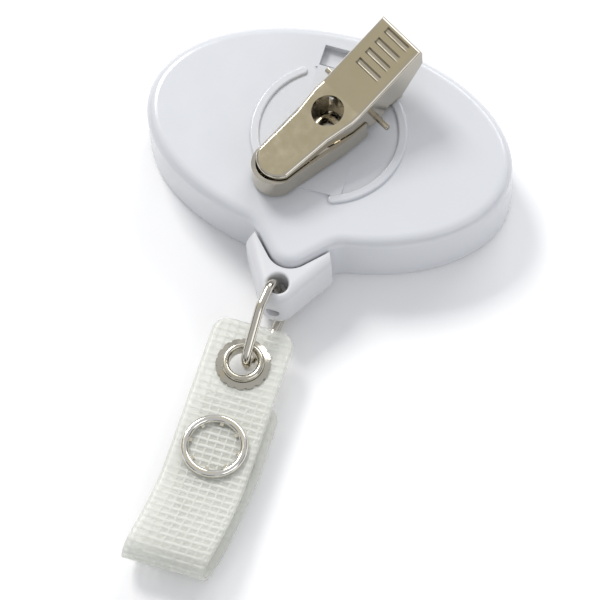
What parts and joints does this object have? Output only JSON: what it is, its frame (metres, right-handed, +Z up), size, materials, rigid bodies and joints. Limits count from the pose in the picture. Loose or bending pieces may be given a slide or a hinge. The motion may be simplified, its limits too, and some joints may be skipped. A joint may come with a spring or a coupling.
{
  "type": "retractable badge reel",
  "caption": "White oval badge reel with a pointed tail, a swivel bulldog clip on the back, a chevron end fitting, a wire loop and a clear reinforced snap strap.",
  "frame": {"origin": "middle of the front face of the case, right under the swivel axis; the reel lies on its front face", "axes": "+Z up through the case to the clip, +Y away from the tail, so the cord pulls out along -Y; +X completes the right-handed frame along the long axis of the oval"},
  "size_m": [0.0516, 0.0807, 0.0211],
  "materials": {
    "case_plastic": "smooth moulded cool white plastic",
    "fitting_plastic": "smooth moulded white plastic",
    "spool_plastic": "moulded natural nylon",
    "spring_steel": "drawn spring steel",
    "cord_nylon": "braided white nylon cord",
    "clip_nickel": "bright nickel plate on stamped steel",
    "loop_nickel": "bright nickel plate on bent wire",
    "eyelet_metal": "nickel plate, slightly warm",
    "snap_metal": "bright nickel plate",
    "strap_vinyl": "clear vinyl over a woven mesh"
  },
  "bodies": {
    "case": {"back_shell": "case_plastic", "front_cover": "case_plastic", "swivel_stud": "clip_nickel", "mainspring": "spring_steel"},
    "spool": {"spool": "spool_plastic", "spring_lid": "spool_plastic", "cord_wound": "cord_nylon"},
    "fitting": {"end_fitting": "fitting_plastic", "cord_lead": "cord_nylon", "cord_tie": "cord_nylon"},
    "loop": {"wire_loop": "loop_nickel"},
    "strap": {"strap_front_leaf": "strap_vinyl", "eyelet": "eyelet_metal", "eyelet_washer": "eyelet_metal", "snap_cap_ring": "snap_metal", "snap_socket": "snap_metal"},
    "flap": {"strap_rear_leaf": "strap_vinyl", "snap_stud": "snap_metal", "snap_back_ring": "snap_metal"},
    "clip": {"clip_jaw": "clip_nickel", "clip_pin": "clip_nickel", "clip_spring": "spring_steel"},
    "lever": {"clip_lever": "clip_nickel"}
  },
  "joints": [
    {"name": "cord_pull", "type": "slide", "parent": "case", "child": "fitting", "axis": [0, -1, 0], "range_m": [0, 0.61], "stiffness_N_per_m": 0.4, "springref_m": -1, "deforming": ["cord_lead"]},
    {"name": "spool_spin", "type": "hinge", "parent": "case", "child": "spool", "pos_m": [0, 0, 0.0036], "axis": [0, 0, 1], "range_deg": [-3600, 0], "deforming": ["mainspring"]},
    {"name": "loop_swing", "type": "hinge", "parent": "fitting", "child": "loop", "pos_m": [0, -0.02305, 0.00525], "axis": [-0.1558, 0.0136, 0.9877], "range_deg": [-25, 25]},
    {"name": "strap_tip", "type": "hinge", "parent": "loop", "child": "strap", "pos_m": [-0.00098, -0.03426, 0.00525], "axis": [-0.9839, 0.0861, -0.1564], "range_deg": [-12, 4]},
    {"name": "flap_open", "type": "hinge", "parent": "strap", "child": "flap", "pos_m": [-0.00145, -0.06475, 0.0038], "axis": [-1, 0, 0], "range_deg": [0, 120]},
    {"name": "clip_swivel", "type": "hinge", "parent": "case", "child": "clip", "pos_m": [0, 0, 0.0105], "axis": [0, 0, 1], "continuous": true},
    {"name": "clip_open", "type": "hinge", "parent": "clip", "child": "lever", "pos_m": [0.00272, 0.00467, 0.0131], "axis": [-0.8643, 0.503, 0], "range_deg": [0, 25], "stiffness_Nm_per_rad": 0.1, "springref_deg": -28.65, "deforming": ["clip_spring"]}
  ],
  "couplings": [
    {"joint": "spool_spin", "follows": "cord_pull", "rad_per_m": -102.9}
  ]
}
